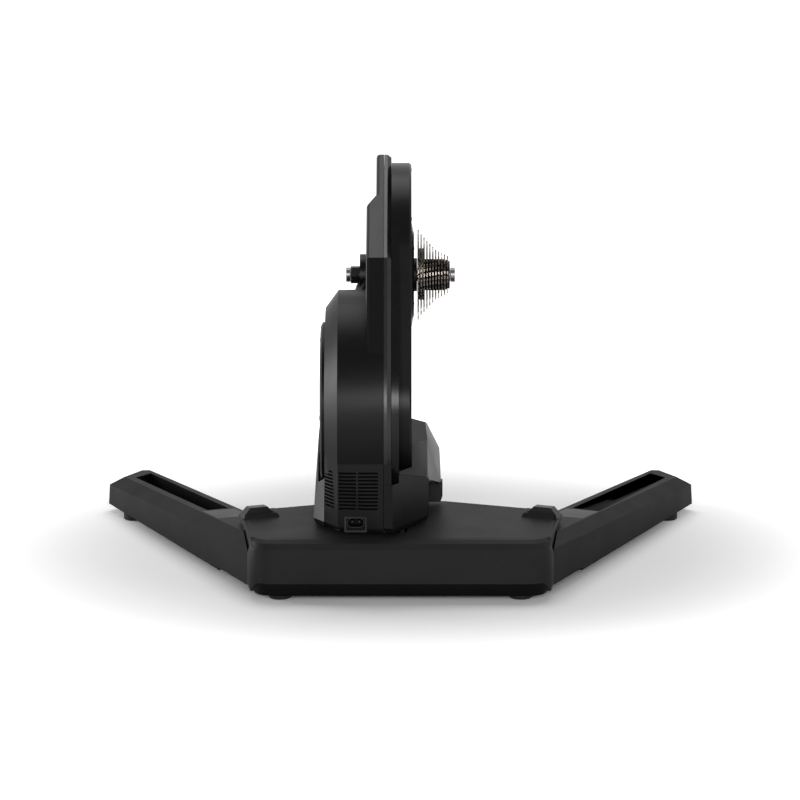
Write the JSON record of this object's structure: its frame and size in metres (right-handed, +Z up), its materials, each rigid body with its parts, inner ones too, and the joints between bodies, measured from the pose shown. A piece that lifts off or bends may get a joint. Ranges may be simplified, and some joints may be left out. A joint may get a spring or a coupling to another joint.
{
  "type": "direct drive bike trainer",
  "caption": "Belt-driven indoor bike trainer with a motor brake in a round drum, a cassette for a bike without its rear wheel, and folding legs on a wide base.",
  "frame": {"origin": "on the floor, under the middle of the bounding box", "axes": "+X towards the drive side, +Y the way the bike faces, +Z up"},
  "size_m": [0.813, 0.59, 0.5257],
  "materials": {
    "housing_plastic": "satin black, fine moulded grain",
    "pan_plastic": "dull black",
    "black_plastic": "semi-gloss black",
    "cast_metal": "satin black powder coat on cast aluminium",
    "foot_rubber": "dull black",
    "belt_rubber": "dull black",
    "bright_steel": "machined",
    "nickel_steel": "nickel plated",
    "anodised_alloy": "grey anodised",
    "black_steel": "black oxide",
    "flywheel_iron": "turned",
    "winding_copper": "varnished copper windings",
    "board_laminate": "green laminate"
  },
  "bodies": {
    "base": {"base_shell": "housing_plastic", "base_pan": "pan_plastic", "base_foot_near_left": "foot_rubber", "base_foot_near_right": "foot_rubber", "base_foot_far_left": "foot_rubber", "base_foot_far_right": "foot_rubber", "track_left": "bright_steel", "track_right": "bright_steel", "track_stop_rear": "foot_rubber", "track_stop_front": "foot_rubber", "leg_pin_left": "bright_steel", "leg_pin_right": "bright_steel", "release_spring_left": "bright_steel", "release_spring_right": "bright_steel"},
    "left_leg": {"leg_left": "cast_metal", "leg_panel_left": "housing_plastic", "leg_foot_left": "foot_rubber"},
    "right_leg": {"leg_right": "cast_metal", "leg_panel_right": "housing_plastic", "leg_foot_right": "foot_rubber"},
    "left_release": {"release_button_left": "black_plastic"},
    "right_release": {"release_button_right": "black_plastic"},
    "carriage": {"carriage_plate": "bright_steel", "housing_left": "housing_plastic", "housing_right": "housing_plastic", "drum_cover": "housing_plastic", "fin_left": "housing_plastic", "main_frame": "cast_metal", "belt_cover": "housing_plastic", "hub_disc": "housing_plastic", "dust_screen": "pan_plastic", "inlet_socket": "black_plastic", "inlet_contacts": "bright_steel", "control_board": "board_laminate", "stator": "winding_copper", "motor_bearing_left": "bright_steel", "motor_bearing_right": "bright_steel", "hub_axle": "bright_steel", "axle_nut": "black_steel", "end_cap_left": "anodised_alloy", "end_cap_right": "anodised_alloy", "belt": "belt_rubber"},
    "front_wheels": {"wheelset_front": "bright_steel"},
    "rear_wheels": {"wheelset_rear": "bright_steel"},
    "pulley": {"big_pulley": "anodised_alloy", "pulley_bearing": "bright_steel"},
    "cassette": {"freehub_body": "anodised_alloy", "freehub_bearing": "bright_steel", "sprocket_cluster": "nickel_steel", "sprocket_21": "nickel_steel", "sprocket_19": "nickel_steel", "sprocket_17": "nickel_steel", "sprocket_15": "nickel_steel", "sprocket_14": "nickel_steel", "sprocket_13": "nickel_steel", "sprocket_12": "nickel_steel", "sprocket_11": "nickel_steel", "lockring": "black_steel"},
    "rotor": {"rotor": "flywheel_iron", "motor_shaft": "bright_steel"}
  },
  "joints": [
    {"name": "left_leg_fold", "type": "hinge", "parent": "base", "child": "left_leg", "pos_m": [-0.194, -0.153, 0.045], "axis": [0, 0, -1], "range_deg": [0, 23]},
    {"name": "right_leg_fold", "type": "hinge", "parent": "base", "child": "right_leg", "pos_m": [0.194, -0.153, 0.045], "axis": [0, 0, 1], "range_deg": [0, 23]},
    {"name": "left_release_press", "type": "slide", "parent": "base", "child": "left_release", "axis": [0, 0, -1], "range_m": [0, 0.004], "stiffness_N_per_m": 1500, "springref_m": -0.001, "deforming": ["release_spring_left"]},
    {"name": "right_release_press", "type": "slide", "parent": "base", "child": "right_release", "axis": [0, 0, -1], "range_m": [0, 0.004], "stiffness_N_per_m": 1500, "springref_m": -0.001, "deforming": ["release_spring_right"]},
    {"name": "body_slide", "type": "slide", "parent": "base", "child": "carriage", "axis": [0, 1, 0], "range_m": [-0.015, 0.015], "stiffness_N_per_m": 900},
    {"name": "front_wheels_roll", "type": "hinge", "parent": "carriage", "child": "front_wheels", "pos_m": [-0.028, -0.104, 0.0466], "axis": [1, 0, 0], "range_deg": [-67, 67]},
    {"name": "rear_wheels_roll", "type": "hinge", "parent": "carriage", "child": "rear_wheels", "pos_m": [-0.028, -0.215, 0.0466], "axis": [1, 0, 0], "range_deg": [-67, 67]},
    {"name": "rotor_spin", "type": "hinge", "parent": "carriage", "child": "rotor", "pos_m": [-0.05, -0.131, 0.222], "axis": [1, 0, 0], "continuous": true},
    {"name": "pulley_spin", "type": "hinge", "parent": "carriage", "child": "pulley", "pos_m": [0, -0.03, 0.375], "axis": [1, 0, 0], "continuous": true},
    {"name": "cassette_freewheel", "type": "hinge", "parent": "pulley", "child": "cassette", "pos_m": [0.042, -0.03, 0.375], "axis": [1, 0, 0], "continuous": true}
  ],
  "couplings": [
    {"joint": "front_wheels_roll", "follows": "body_slide", "rad_per_m": -76.923},
    {"joint": "rear_wheels_roll", "follows": "body_slide", "rad_per_m": -76.923},
    {"joint": "pulley_spin", "follows": "rotor_spin", "ratio": 0.14613}
  ]
}
